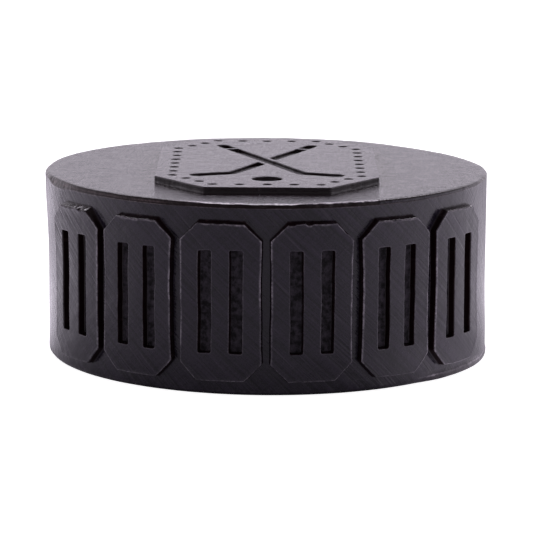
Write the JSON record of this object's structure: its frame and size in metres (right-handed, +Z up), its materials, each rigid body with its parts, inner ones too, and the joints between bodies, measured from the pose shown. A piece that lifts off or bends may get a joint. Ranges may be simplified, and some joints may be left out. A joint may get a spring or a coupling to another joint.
{
  "type": "ice hockey puck",
  "caption": "Thick black rubber ice hockey puck with raised slotted grip pads round its side wall and a raised badge of crossed sticks on its top face.",
  "frame": {"origin": "on the puck's axis, in the plane of its flat underside", "axes": "+Z up along the puck's axis, from the underside to the badge; -Y towards the front, where the first group of grip pads is centred; +X to the right seen from the front"},
  "size_m": [0.0762, 0.0788, 0.0329],
  "materials": {
    "black_rubber": "satin"
  },
  "bodies": {
    "root": {"puck_body": "black_rubber", "top_badge": "black_rubber", "side_pad_front_1": "black_rubber", "side_pad_front_2": "black_rubber", "side_pad_front_3": "black_rubber", "side_pad_front_4": "black_rubber", "side_pad_front_5": "black_rubber", "side_pad_front_6": "black_rubber", "side_pad_back_1": "black_rubber", "side_pad_back_2": "black_rubber", "side_pad_back_3": "black_rubber", "side_pad_back_4": "black_rubber", "side_pad_back_5": "black_rubber", "side_pad_back_6": "black_rubber"}
  },
  "joints": []
}
